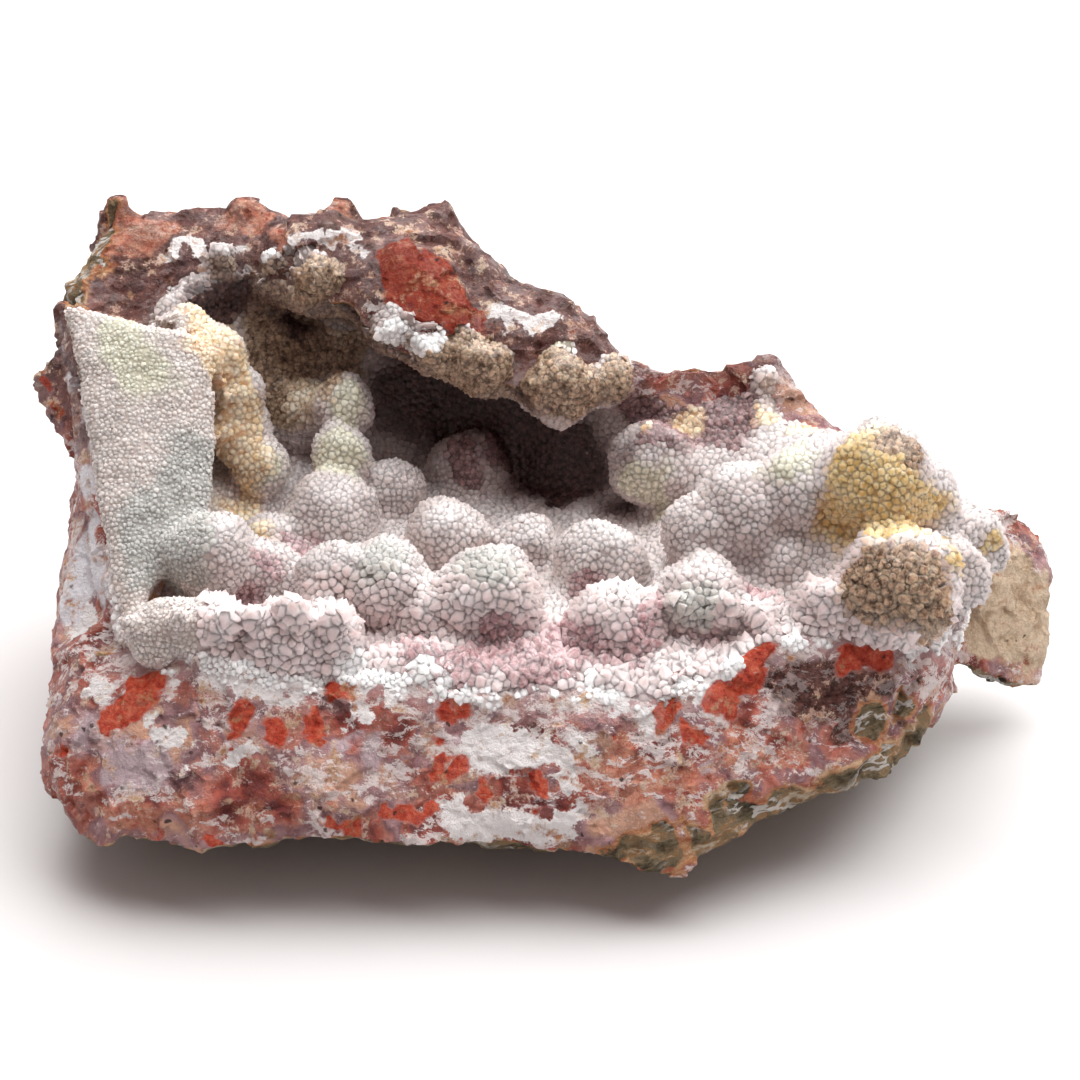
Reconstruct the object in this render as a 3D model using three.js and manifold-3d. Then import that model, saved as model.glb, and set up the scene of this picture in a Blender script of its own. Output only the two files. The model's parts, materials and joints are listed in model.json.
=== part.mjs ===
// A broken piece of a chalcedony geode, 107 mm long.
//
// The wall of the nodule is red and lilac chalcedony, with scraps of the host rock still on its skin.
// It is open in front: a low broken rim, a floor behind it, and a roof that leans over a deep cave.
// A slab closes the left end and a short tail runs out to the right. The hollow is lined with a crust
// of small quartz crystals on round lumps.
//
// Millimetres. x runs along the piece from the slab to the tail, y from the broken front to the back,
// z up. The underside has a flat at z = 0 that the piece rests on, and the origin is below its middle.
import * as THREE from "three";
import { ConvexGeometry } from "three/addons/geometries/ConvexGeometry.js";
import { LoftGeometry } from "three/addons/geometries/LoftGeometry.js";
import { ImprovedNoise } from "three/addons/math/ImprovedNoise.js";
import { mergeVertices } from "three/addons/utils/BufferGeometryUtils.js";
import Module from "manifold-3d";

const wasm = await Module();
wasm.setup();

// ---- driving dimensions ----

const SECTIONS = 28; // cross-sections from the left end to the right
const ROUGHNESS = 0.9; // how far the broken rock stands out of its smooth form
const ROUGHNESS_LENGTH = 7; // size of one rough spot
const GAP = 0.3; // clearance between the crust and the wall that carries it
const CRUST_THICKNESS = 1.6;
const CRUST_ROOT = 1.2; // how far the crust's blank reaches into the wall before it is cut back
const BUD_HEIGHT = 0.09; // crystal points on a lump, as a share of its radius

// The long lines of the wall, in order round a section. Each runs from the left end to the right
// and is a list of [x, y, z] points, with more of them where the line is more broken.
const LINES = {
  lowerEdge: [
    [-48.2, -18, 9], [-45.6, -23.5, 7.6], [-42, -26.5, 7.3], [-32, -27.7, 8], [-20, -27.2, 9],
    [-9, -27.4, 8.6], [2, -28, 7.5], [10, -28.8, 6.6], [13, -29, 6.2], [16, -28, 7.2], [19, -26.4, 8.3],
    [25, -23.1, 10], [30, -22.1, 9.7], [35.5, -19.4, 11.2], [37.6, -14, 12.5], [39.4, -9, 14],
  ],
  brokenFace: [
    [-48.7, -14.5, 13], [-45.6, -20, 14], [-40, -23, 14.8], [-30, -24.3, 15.3], [-15, -24.5, 15],
    [0, -25, 14], [10, -25.2, 13], [19, -22, 15.2], [25, -19.5, 16], [33, -18, 15.5], [37, -15, 15.5],
    [40.4, -8.5, 16],
  ],
  crest: [
    [-48, -8.6, 18.4], [-46.6, -9, 19.5], [-43.5, -13, 21.2], [-37, -15.8, 22.4], [-31.8, -17, 22.4],
    [-23.6, -18.5, 21.6], [-13, -18.6, 21.5], [-8.5, -19.4, 20.3], [5.7, -19.4, 20.2], [13.3, -18.5, 19.9],
    [17, -17, 21.3], [19.5, -15.7, 22.6], [27.7, -14.5, 22.6], [34.7, -13, 21.2], [39.4, -9.3, 18.6],
    [41.4, -7.5, 17.8],
  ],
  trough: [
    [-46, -4, 21.5], [-44, -6, 22], [-41, -9.5, 21], [-36, -11.5, 20.6], [-25, -13, 20], [-10, -14, 19.8],
    [5, -14.5, 19.4], [14, -13.5, 19.2], [22, -11, 20.6], [30, -9.5, 23.4], [37, -8, 23.4], [42.4, -5, 20],
  ],
  floor: [
    [-45, 1, 25], [-43, 0, 25.5], [-40, -3, 22.5], [-36, -3, 21], [-30, -3, 20.6], [-15, -4, 20.4],
    [0, -5, 19.6], [12, -5, 20], [20, -4, 21.6], [26, -4, 23.6], [32, -4, 29], [37, -4, 27.6],
    [43.5, -2, 22.5],
  ],
  floorBack: [
    [-44.6, 6, 29.5], [-43, 6, 30], [-40, 6.5, 26.5], [-36, 7, 22], [-30, 8.5, 20.6], [-15, 9, 20],
    [0, 8, 18.8], [10, 6, 19.4], [16, 3, 23.6], [21, 2, 26.6], [26, 2, 29], [32, 0.5, 33.2],
    [37, 0.5, 30.5], [44, 2, 24.5],
  ],
  caveFoot: [
    [-46.4, 11, 32], [-44, 12, 33], [-40, 16, 31], [-36, 19.5, 27], [-30, 22.5, 24], [-20, 26, 20.6],
    [-5, 27, 18.4], [6, 22.5, 18.2], [12, 15, 19.6], [18, 11.5, 24], [25, 8.5, 28.4], [32, 5, 33.4],
    [37, 5, 30], [44.4, 5, 25],
  ],
  caveHead: [
    [-49.4, 15.5, 35], [-46, 16, 37], [-41, 21, 37.5], [-36, 25, 38], [-31, 30.5, 38.8], [-26, 33.6, 38.5],
    [-20, 34, 37], [-10, 32.5, 33.5], [-4, 30.5, 31], [6, 26.5, 28], [14, 20.5, 26.5], [21, 18.5, 28],
    [27, 14, 28.4], [32, 9, 31.4], [37, 8, 27.5], [44.4, 7, 24],
  ],
  lip: [
    [-47.6, 20.2, 39.2], [-46, 21.2, 39.6], [-42, 25, 40.4], [-36, 29, 42.8], [-31, 28.3, 43.2],
    [-25, 23.9, 41.2], [-19.4, 22.6, 41], [-17.5, 20, 38.8], [-14, 18.4, 37.4], [-10.4, 18.6, 36.4],
    [-6.3, 17.6, 34.8], [-2, 16.4, 33.2], [3, 16.4, 32.6], [7.3, 18, 32.6], [10.5, 20, 31.8],
    [14, 21.5, 30.6], [21, 21.5, 31.6], [27, 18.5, 30.4], [32, 12.5, 29.2], [37, 10.5, 25],
    [44.4, 9, 22.5],
  ],
  brow: [
    [-48.6, 24, 40.2], [-46, 26, 42], [-40, 29, 43.5], [-33, 30, 45], [-28, 28, 46.3], [-22, 26.5, 46.8],
    [-16, 25.7, 46.4], [-11.6, 26.3, 45.6], [-6.8, 21.5, 40.5], [2, 21.5, 39], [8.4, 21.6, 35.6],
    [14, 22.8, 32.8], [21, 22.6, 33.2], [27, 20, 31.6], [32, 15.5, 27.8], [37, 12, 23.6],
    [44.4, 10.5, 20.5],
  ],
  ridge: [
    [-50.8, 26.8, 41], [-47.6, 31, 44], [-45, 34.8, 48.3], [-42, 34.5, 45.6], [-36.6, 35.3, 47.2],
    [-33.5, 35.4, 46.5], [-30.7, 35.7, 47.9], [-27, 32.8, 45.9], [-21.5, 35, 48], [-18.6, 33, 44.8],
    [-14, 34, 46.6], [-10.6, 33.4, 47.2], [-7.5, 33.2, 45.3], [-2, 29.6, 41.5], [5.3, 26.5, 38],
    [10.6, 23.6, 34.3], [17, 23.8, 32.8], [21, 24, 33.3], [24, 23.1, 34.3], [27, 21.5, 31.5],
    [31, 18.9, 28.5], [37, 14, 22], [44.4, 12, 18],
  ],
  back: [
    [-50.6, 31, 28], [-44, 37.5, 27], [-30, 40.5, 27], [-12, 39.5, 26], [2, 35.5, 24], [14, 30, 21],
    [24, 26.5, 19], [32, 22, 17], [37, 17, 15.5], [44, 13.5, 14],
  ],
  heel: [
    [-46.2, 24, 10], [-42, 28, 7], [-30, 29, 5], [-12, 28.5, 4.5], [2, 26, 4], [14, 22, 4.5], [24, 18, 6],
    [32, 13, 7.5], [37, 11, 8.5], [43, 9, 9.5],
  ],
  keel: [
    [-48.6, 7, 5], [-44, 6, 1.5], [-36, 6, -0.8], [-20, 5.5, -1.4], [0, 4, -1.4], [10, 3, -1], [18, 2, 0.5],
    [28, 0, 3.5], [37, -1, 7], [42.5, 1, 9],
  ],
  chin: [
    [-48.4, -7, 6.5], [-44, -12, 4], [-30, -14, 2.8], [0, -15, 2.4], [13, -17, 2.6], [20, -14, 4.4],
    [30, -12, 6.3], [37, -10, 9], [42, -5, 11],
  ],
};
const CRUST_FROM = "crest"; // the crust lines the wall between these two lines
const CRUST_TO = "lip";
const CRUST_START = 0.065; // share of the wall's length at its left end that the crust leaves bare
const CRUST_LINES = [CRUST_FROM, CRUST_TO].map((name) => Object.keys(LINES).indexOf(name));

// The slab at the left end: its druzy face, which leans back, and the corners of its outer side.
const SLAB_FACE = [
  [-49.6, 19.8, 42.4], [-41.6, 15.4, 41.4], [-35.8, 15.6, 40.8], [-33.8, 15.6, 39], [-33, 8.8, 33],
  [-33, 3, 28.4], [-38.6, -4.8, 25.4], [-40.6, -12, 21.4], [-42.6, -6, 24.6], [-44, 0, 29.4],
  [-45.2, 6, 34], [-46.8, 12, 38.6],
];
const SLAB_SIDE = [
  [-50.4, 21, 41], [-47.9, 12, 37], [-46.4, 6, 32.4], [-45.4, 1, 27.8], [-44.4, -5, 23.4], [-42.5, -10, 20],
  [-50.4, 24, 40.6], [-36, 23, 36], [-34.6, 13, 28], [-37, 2, 19], [-40, -8, 19], [-50, 26, 34],
];
// Two swellings of the slab's outer side, one above the other, with a nick between them.
const KNOB_CORNERS = [
  [-53.15, 16.2, 35.6], [-51.6, 13.8, 33], [-50, 18, 38.8], [-49, 10.8, 30.4], [-46.6, 6.5, 28],
  [-46, 10, 34], [-44, 14, 30], [-45, 20, 37],
];
const CHEEK_CORNERS = [
  [-46.4, 2, 26.4], [-47.2, -2, 24], [-47.8, -5, 21.4], [-47.8, -8, 18.6], [-42, 2, 25], [-41, -4, 22],
  [-41, -9, 17], [-43, 4, 20],
];
const SLAB_COAT = [0.5, -1.4, 0.9]; // how far the coat's face stands off the slab's
const TAIL_CORNERS = [
  [39, -2, 13], [43.1, 0.2, 12.4], [45.3, 2.1, 7.6], [48.3, 3.5, 6], [52.7, 4.2, 5.2], [53.8, 6.7, 9.6],
  [54.5, 10.1, 15.5], [52.9, 13.3, 19], [49.4, 12.7, 21.8], [45.2, 10.6, 23.4], [39, 3, 23], [40, 13, 12],
  [47, 15, 9], [53, 13, 11],
];
// A boss of red jasper under the brow, and a tip of host rock that hangs from the lower edge.
const BOSS_CORNERS = [
  [-17, 23.5, 44.5], [-15.8, 24.5, 47], [-11.6, 25.3, 46.4], [-6.8, 20.2, 40.6], [-9.5, 18.4, 38.2],
  [-15.5, 20, 40], [-8, 29, 46], [-16, 31, 47],
];
const TIP_CORNERS = [
  [9.5, -27.5, 8], [12.2, -29.4, 5.2], [13.6, -29.2, 5.4], [16.5, -27.2, 8], [11, -22, 5], [15, -21, 6],
];

// Splinters that stand on the ridge: foot x, y, z, radius and height.
const SPLINTER_TOP = 0.36; // radius of a splinter's top, as a share of its foot's
const SPLINTERS = [
  [-45.4, 34.6, 41.6, 3.6, 6.8], [-31.6, 35, 42.6, 5, 5.2], [-21.2, 34.2, 42.6, 4, 5.8],
  [-11.2, 33.4, 42.8, 5, 4.6], [24.2, 23, 30, 3.6, 4.6], [-49.8, 27, 38.4, 2, 3.4],
];

// Lumps of the crust: centre x, y, z and radius. Rows run from the rim to the back of the cave.
const LUMPS = [
  // behind the rim
  [-35.8, -13.4, 22.6, 4.2], [-31.4, -13.8, 22.8, 4.2], [-24.4, -14.6, 22.8, 3.9], [-20.4, -14, 22.4, 3.7],
  [27.6, -10.4, 23.6, 3.4],
  // along the middle of the floor
  [-32.5, -4, 26, 4.8], [-27, -3, 23.4, 3.8], [-19.6, -6, 23.8, 4.8], [-15.2, -6.2, 24, 4.9],
  [-10.4, -8.4, 21.6, 4.4], [-5.1, -7.9, 23.6, 5.6], [7.6, -10.4, 21.3, 5.1], [6, -0.3, 22.8, 4.9],
  [15.8, -7.4, 22.8, 5], [21, -9.2, 21.6, 3.6],
  [16.4, 0.4, 26.2, 4.6], [20.2, 1, 28.6, 4.8], [24.6, -2.4, 23.6, 3.8], [25.6, 1.6, 30.2, 4.9],
  // at the mouth of the cave
  [-9.7, 4.7, 23.2, 4.4], [-1.5, 5.6, 21.6, 3.6], [-21.3, 9.4, 22.8, 5.1], [-21, 15.4, 27, 3.4],
  [-20.9, 20.9, 30, 3.6], [-15.4, 15.6, 22.6, 3.5], [-29.2, 14.2, 26.2, 3.3], [-28, 6, 21.6, 3.4],
  [11.8, 15.6, 25.8, 4.9],
  // inside the cave
  [-7.5, 23, 21.2, 4.8], [-25.4, 24.5, 27.4, 4],
  [-37.4, 18.6, 39, 3.8], [-33.8, 17.4, 37.4, 3.8], [-32.2, 17.4, 33.4, 3.6], [-31.4, 17, 29.6, 3.6],
  // under the edge of the roof
  [-23, 25, 43, 4], [-27.8, 27.4, 44, 2.8], [-33.6, 29.2, 43.6, 2.6], [-15.6, 20.8, 39.4, 3.3],
  [-11.4, 19.4, 37.6, 3.1], [-6.2, 18.8, 36.2, 3.7], [1.9, 18.2, 33.8, 4.6], [7.6, 20, 34, 3.4],
  [23.8, 21.4, 32.8, 2.6],
  // at the right end
  [33.2, -0.7, 32.6, 6.2], [29.4, 2.8, 31.4, 4.7], [37.6, 1, 29.6, 4.4], [34.7, -9.6, 26, 6.2],
  [40.2, -4.6, 24, 4.4], [43.4, 3.4, 22.8, 4.5],
];

// Single large crystals along the rim: x, y, z of the foot, length, and how far the tip leans over.
const RIM_CRYSTALS = [
  [-23, -16, 26.4, 3.2, -0.2], [-19.6, -16.2, 25.6, 2.8, 0.5], [-26.6, -15.8, 25.6, 2.6, -0.6],
  [-38.6, -14.6, 24.4, 2.6, -0.7], [-34, -16.4, 26.2, 2.6, -0.1], [-30, -16.2, 25.6, 2.6, 0.4],
  [13.6, -11.6, 24.8, 2.6, -0.4], [17.8, -12.4, 25, 2.8, 0.3], [21.4, -12.4, 23.8, 2.6, -0.2],
  [27.4, -12, 25.4, 3.2, 0.2], [30.8, -12.4, 25.2, 3, -0.3],
];
const CRYSTAL_WIDTH = 0.42; // of its length

const COLOURS = { wall: 0xa8655c, crust: 0xd9cdd0 };

// ---- geometry helpers ----

const noise = new ImprovedNoise();

/** A push for one point, the same for every surface that holds the point. */
function roughPush(point) {
  const at = point.clone().divideScalar(ROUGHNESS_LENGTH);
  return new THREE.Vector3(
    noise.noise(at.x, at.y, at.z),
    noise.noise(at.x + 31, at.y + 17, at.z + 5),
    noise.noise(at.x + 7, at.y + 43, at.z + 29),
  ).multiplyScalar(2 * ROUGHNESS);
}

/** The geometry with one vertex at each corner, so that it is a closed surface. */
function welded(geometry) {
  const bare = new THREE.BufferGeometry();
  bare.setAttribute("position", geometry.getAttribute("position").clone());
  bare.setIndex(geometry.index ? geometry.index.clone() : null);
  return mergeVertices(bare, 1e-4);
}

/** Moves every vertex of a welded geometry outwards. */
function grown(geometry, distance) {
  geometry.computeVertexNormals();
  const { position, normal } = geometry.attributes;
  for (let i = 0; i < position.count; i++) {
    position.setXYZ(
      i,
      position.getX(i) + distance * normal.getX(i),
      position.getY(i) + distance * normal.getY(i),
      position.getZ(i) + distance * normal.getZ(i),
    );
  }
  geometry.deleteAttribute("normal");
  return geometry;
}

function solidFrom(geometry) {
  return new wasm.Manifold(
    new wasm.Mesh({
      numProp: 3,
      vertProperties: geometry.getAttribute("position").array,
      triVerts: new Uint32Array(geometry.index.array),
    }),
  );
}

function joined(solids) {
  return solids.reduce((whole, solid) => whole.add(solid));
}

function largestBody(solid) {
  return solid.decompose().reduce((best, body) => (body.volume() > best.volume() ? body : best));
}

function geometryFrom(solid) {
  const { numProp, vertProperties, triVerts } = solid.getMesh();
  const positions = [];
  for (let i = 0; i < vertProperties.length; i += numProp) {
    positions.push(...vertProperties.subarray(i, i + 3));
  }
  const geometry = new THREE.BufferGeometry();
  geometry.setAttribute("position", new THREE.Float32BufferAttribute(positions, 3));
  geometry.setIndex(Array.from(triVerts));
  geometry.computeVertexNormals();
  return geometry;
}

// ---- the wall ----

/** The point a share of the way along a long line, measured in x. */
function pointOnLine(line, share) {
  const x = THREE.MathUtils.lerp(line[0][0], line.at(-1)[0], share);
  const next = line.findIndex((point, i) => i > 0 && (point[0] >= x || i === line.length - 1));
  const [a, b] = [line[next - 1], line[next]];
  return new THREE.Vector3(...a).lerp(new THREE.Vector3(...b), (x - a[0]) / (b[0] - a[0]));
}

/** A smooth rough-faced section through the long lines, from the front over the top to the back. */
function wallSection(share) {
  const corners = Object.values(LINES).map((line) => pointOnLine(line, share));
  const curve = new THREE.CatmullRomCurve3(corners, true, "centripetal");
  const outside = corners.map((_, i) => i).filter((i) => i < CRUST_LINES[0] || i >= CRUST_LINES[1]);
  const places = [...corners.keys(), ...outside.map((i) => i + 0.5)].sort((a, b) => a - b);
  const smooth = places.map((i) => curve.getPoint(i / corners.length));
  return smooth.map((point) => point.add(roughPush(point)));
}

/** A loft through one section for each place along the wall, from a share of its length on. */
function loftOf(section, start) {
  const shares = Array.from({ length: SECTIONS }, (_, i) => i / (SECTIONS - 1));
  const sections = shares.filter((share) => share >= start).map(section);
  return welded(new LoftGeometry(sections, { capStart: true, capEnd: true }));
}

function blockFrom(corners) {
  return welded(new ConvexGeometry(corners.map((corner) => new THREE.Vector3(...corner))));
}

/** A blunt five-sided splinter of rock. */
function splinter([x, y, z, radius, height]) {
  const stump = new THREE.CylinderGeometry(radius * SPLINTER_TOP, radius, height, 5).rotateX(Math.PI / 2);
  return welded(stump.rotateZ(x).translate(x, y, z + height / 2));
}

/** The whole wall, grown outwards by a distance, and cut flat where it rests. */
function wallSolid(distance) {
  const blocks = [
    [...SLAB_FACE, ...SLAB_SIDE], KNOB_CORNERS, CHEEK_CORNERS, TAIL_CORNERS, BOSS_CORNERS, TIP_CORNERS,
  ];
  const loft = loftOf((share) => wallSection(share).reverse(), 0);
  const forms = [loft, ...blocks.map(blockFrom), ...SPLINTERS.map(splinter)];
  const ground = new THREE.BoxGeometry(200, 200, 40).translate(0, 0, -20);
  const rock = joined(forms.map((form) => solidFrom(grown(form, distance))));
  return rock.subtract(solidFrom(welded(ground)));
}

// ---- the crust ----

/** The blank of the crust in one section: a band on the wall, from its root to its face. */
function crustSection(share) {
  const wall = wallSection(share);
  const [first, last] = CRUST_LINES;
  const band = wall.slice(2 * first, first + last + 1);
  const away = band.map((point, i) => {
    const along = band[Math.min(i + 1, band.length - 1)].clone().sub(band[Math.max(i - 1, 0)]);
    return new THREE.Vector3(0, -along.z, along.y).normalize();
  });
  const face = band.map((point, i) => point.clone().addScaledVector(away[i], CRUST_THICKNESS));
  const root = band.map((point, i) => point.clone().addScaledVector(away[i], -CRUST_ROOT));
  return [...root, ...face.reverse()];
}

/** A round lump whose surface is a coat of small crystal points. */
function lump([x, y, z, radius], index) {
  const geometry = welded(new THREE.IcosahedronGeometry(radius, 1));
  const { position } = geometry.attributes;
  const corner = new THREE.Vector3();
  for (let i = 0; i < position.count; i++) {
    const bud = ((i * 7 + index * 3) % 5) / 4 - 0.5;
    corner.fromBufferAttribute(position, i).multiplyScalar(1 + 2 * BUD_HEIGHT * bud);
    position.setXYZ(i, corner.x + x, corner.y + y, corner.z + z);
  }
  return geometry;
}

/** A six-sided quartz crystal: a short prism with a pointed end. */
function rimCrystal([x, y, z, length, lean]) {
  const radius = length * CRYSTAL_WIDTH;
  const prism = new THREE.CylinderGeometry(radius, radius * 0.9, length, 6);
  const point = new THREE.ConeGeometry(radius, length * 0.5, 6).translate(0, length * 0.75, 0);
  const solid = joined([prism, point].map((part) => solidFrom(welded(part))));
  return geometryFrom(solid).rotateX(Math.PI / 2).rotateY(lean).rotateX(0.45).translate(x, y, z);
}

/** The coat on the slab's face: the hull of the face and the same corners raised towards the front. */
function slabCoat() {
  const raised = SLAB_FACE.map(([x, y, z]) => [x + SLAB_COAT[0], y + SLAB_COAT[1], z + SLAB_COAT[2]]);
  return blockFrom([...SLAB_FACE, ...raised]);
}

/** The whole crust. A grown wall pinches in sharp hollows, so the wall itself is cut out of it too. */
function crustSolid() {
  const crystals = RIM_CRYSTALS.map(rimCrystal).map(welded);
  const forms = [loftOf(crustSection, CRUST_START), slabCoat(), ...LUMPS.map(lump), ...crystals];
  return largestBody(joined(forms.map(solidFrom)).subtract(wallSolid(GAP)).subtract(wallSolid(0)));
}

// ---- the two pieces ----

function piece(name, solid, color, roughness) {
  const material = new THREE.MeshStandardMaterial({ color, roughness, metalness: 0, flatShading: true });
  const mesh = new THREE.Mesh(geometryFrom(solid), material);
  mesh.name = name;
  return mesh;
}

const geode = new THREE.Group();
geode.add(piece("chalcedony_wall", wallSolid(0), COLOURS.wall, 0.6));
geode.add(piece("crystal_crust", crustSolid(), COLOURS.crust, 0.45));

// The long lines and lumps above are laid out from a point near the middle of the resting flat.
const middle = new THREE.Box3().setFromObject(geode, true).getCenter(new THREE.Vector3());
geode.position.set(-middle.x, -middle.y, 0);

export default geode;
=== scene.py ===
import json
from math import cos, pi, radians, sin

import bmesh
import bpy
import numpy as np
from mathutils import Matrix, Vector, noise
from mathutils.bvhtree import BVHTree
from mathutils.kdtree import KDTree

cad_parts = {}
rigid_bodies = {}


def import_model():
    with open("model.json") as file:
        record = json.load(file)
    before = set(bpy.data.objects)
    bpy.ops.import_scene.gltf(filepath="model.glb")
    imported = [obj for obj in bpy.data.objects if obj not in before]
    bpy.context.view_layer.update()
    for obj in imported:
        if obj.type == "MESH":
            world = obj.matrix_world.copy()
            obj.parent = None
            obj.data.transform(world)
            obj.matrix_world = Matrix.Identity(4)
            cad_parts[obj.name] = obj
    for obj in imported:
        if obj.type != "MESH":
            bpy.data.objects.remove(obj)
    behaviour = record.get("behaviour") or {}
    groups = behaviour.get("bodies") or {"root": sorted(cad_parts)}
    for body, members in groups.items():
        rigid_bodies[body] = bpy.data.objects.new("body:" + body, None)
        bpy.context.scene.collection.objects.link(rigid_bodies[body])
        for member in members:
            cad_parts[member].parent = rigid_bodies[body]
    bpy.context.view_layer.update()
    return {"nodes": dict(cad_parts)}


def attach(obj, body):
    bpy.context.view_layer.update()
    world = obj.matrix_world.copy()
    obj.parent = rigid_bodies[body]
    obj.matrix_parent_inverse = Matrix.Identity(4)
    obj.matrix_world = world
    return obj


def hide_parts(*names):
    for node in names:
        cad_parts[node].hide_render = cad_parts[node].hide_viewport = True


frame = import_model()
for left_over in [o for o in bpy.data.objects if o.name in ("Cube", "Light", "Camera")]:
    bpy.data.objects.remove(left_over)

# --- The wall of the nodule ---------------------------------------------------------------------
# Chalcedony, red and lilac, broken across in front and along the ridge, with the dark host rock
# still on its skin. It is one solid piece of stone, and everything else has grown on it.

# Pieces are worked in millimetres and put into the frame's metres when they are done.


def copy_of(node):
    """A copy of a CAD node's mesh in millimetres, its loose triangles merged."""
    mesh = frame["nodes"][node].data.copy()
    mesh.materials.clear()
    shape = bmesh.new()
    shape.from_mesh(mesh)
    bmesh.ops.scale(shape, vec=(1000, 1000, 1000), verts=shape.verts)
    bmesh.ops.remove_doubles(shape, verts=shape.verts, dist=1e-3)
    shape.to_mesh(mesh)
    shape.free()
    piece = bpy.data.objects.new(node + "_stone", mesh)
    bpy.context.scene.collection.objects.link(piece)
    return piece


def done(piece, node, material):
    """Puts a finished piece into the frame: its size, its body, its node and its finish."""
    piece.data.transform(Matrix.Scale(0.001, 4))
    piece.data.materials.clear()
    piece.data.materials.append(material)
    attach(piece, "root")
    if node:
        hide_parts(node)


def settle(piece):
    """Makes what a piece's modifiers show its own mesh."""
    now = bpy.context.evaluated_depsgraph_get()
    shown = piece.evaluated_get(now)
    mesh = bpy.data.meshes.new_from_object(shown, preserve_all_data_layers=True, depsgraph=now)
    piece.modifiers.clear()
    piece.data = mesh
    return piece


def regrain(piece, grain, smoothing):
    """Rebuilds a piece's mesh at an even grain and rounds it."""
    remesh = piece.modifiers.new("grain", "REMESH")
    remesh.mode = "VOXEL"
    remesh.voxel_size = grain
    smooth = piece.modifiers.new("round", "SMOOTH")
    smooth.factor = 0.5
    smooth.iterations = smoothing
    return settle(piece)


def paint(piece, name, values):
    """Writes one value for each point of a piece under a name."""
    layer = piece.data.attributes.get(name) or piece.data.attributes.new(name, "FLOAT", "POINT")
    layer.data.foreach_set("value", np.asarray(values, dtype=np.float32))


def points_of(piece):
    flat = np.empty(3 * len(piece.data.vertices), dtype=np.float32)
    piece.data.vertices.foreach_get("co", flat)
    return flat.reshape(-1, 3)


def normals_of(piece):
    flat = np.empty(3 * len(piece.data.vertices), dtype=np.float32)
    piece.data.vertex_normals.foreach_get("vector", flat)
    return flat.reshape(-1, 3)


def torn(points, *pushes):
    """Points pushed about by noises, each given by its size and its push."""
    for size, push in pushes:
        points = np.array([Vector(p) + push * noise.noise_vector(Vector(p) / size) for p in points])
    return points


def inside_of(points, patches):
    """How deep each point lies in round patches that run into one another: 0 at their edge."""
    level = np.full(len(points), -0.45)
    for x, y, z, radius in patches:
        near = np.linalg.norm(points - (x, y, z), axis=1) / (1.7 * radius)
        level += np.clip(1 - near**2, 0, 1) ** 2
    return np.clip(level, -0.45, 1)


class Field:
    """A value or colour that varies over a surface, as one output of a node. Sums on it add nodes."""

    def __init__(self, tree, socket):
        self.tree = tree
        self.socket = socket

    def node(self, kind, settings=None, inputs=None, output=0):
        """Adds a node: its settings first, then the values or links of its sockets."""
        new = self.tree.nodes.new(kind)
        for name, value in (settings or {}).items():
            if name == "stops":
                ramp = new.color_ramp
                while len(ramp.elements) < len(value):
                    ramp.elements.new(0.5)
                for stop, (place, colour) in zip(ramp.elements, value):
                    stop.position = place
                    stop.color = (*colour, 1)
            else:
                setattr(new, name, value)
        for name, value in (inputs or {}).items():
            if isinstance(value, Field):
                self.tree.links.new(value.socket, new.inputs[name])
            else:
                new.inputs[name].default_value = value
        return Field(self.tree, new.outputs[output])

    def math(self, operation, *values):
        return self.node("ShaderNodeMath", {"operation": operation}, dict(enumerate(values)))

    def __add__(self, other):
        return self.math("ADD", self, other)

    def __radd__(self, other):
        return self.math("ADD", other, self)

    def __sub__(self, other):
        return self.math("SUBTRACT", self, other)

    def __rsub__(self, other):
        return self.math("SUBTRACT", other, self)

    def __mul__(self, other):
        return self.math("MULTIPLY", self, other)

    def __rmul__(self, other):
        return self.math("MULTIPLY", other, self)

    def __truediv__(self, other):
        return self.math("DIVIDE", self, other)

    def above(self, low, high):
        """0 below the low value, 1 above the high one, and an even rise between them."""
        limits = {"Value": self, "From Min": low, "From Max": high}
        return self.node("ShaderNodeMapRange", {"interpolation_type": "SMOOTHSTEP"}, limits)

    def vector(self, operation, *values):
        """Vector maths on this vector."""
        output = "Value" if operation in ("DOT_PRODUCT", "LENGTH") else 0
        sockets = dict(enumerate((self, *values)))
        return self.node("ShaderNodeVectorMath", {"operation": operation}, sockets, output)

    def scaled(self, factor):
        """This vector made longer or shorter, or this colour lighter or darker, by a factor."""
        return self.node("ShaderNodeVectorMath", {"operation": "SCALE"}, {0: self, "Scale": factor})

    def noise(self, size, detail=3.0, roughness=0.5):
        """Soft cloudy variation between 0 and 1 round a size."""
        inputs = {"Vector": self, "Scale": 1 / size, "Detail": detail, "Roughness": roughness}
        return self.node("ShaderNodeTexNoise", {"noise_dimensions": "3D"}, inputs)

    def cells(self, size, output, feature="F1"):
        """Cells of a size: how far off their middles are, their middles, or a colour for each."""
        settings = {"voronoi_dimensions": "3D", "feature": feature}
        return self.node("ShaderNodeTexVoronoi", settings, {"Vector": self, "Scale": 1 / size}, output)

    def bent(self, size, push):
        """This place pushed about by a noise."""
        inputs = {"Vector": self, "Scale": 1 / size, "Detail": 2.0}
        drift = self.node("ShaderNodeTexNoise", {"noise_dimensions": "3D"}, inputs, "Color")
        return self.vector("ADD", drift.vector("SUBTRACT", (0.5, 0.5, 0.5)).scaled(push))

    def toned(self, *stops):
        """The colour a ramp gives this value."""
        return self.node("ShaderNodeValToRGB", {"stops": stops}, {"Fac": self})

    def mixed(self, other, share):
        """This colour turned into another by a share between 0 and 1."""
        other = other if isinstance(other, Field) else (*other, 1)
        return self.node("ShaderNodeMix", {"data_type": "RGBA"}, {0: share, 6: self, 7: other}, 2)


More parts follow.
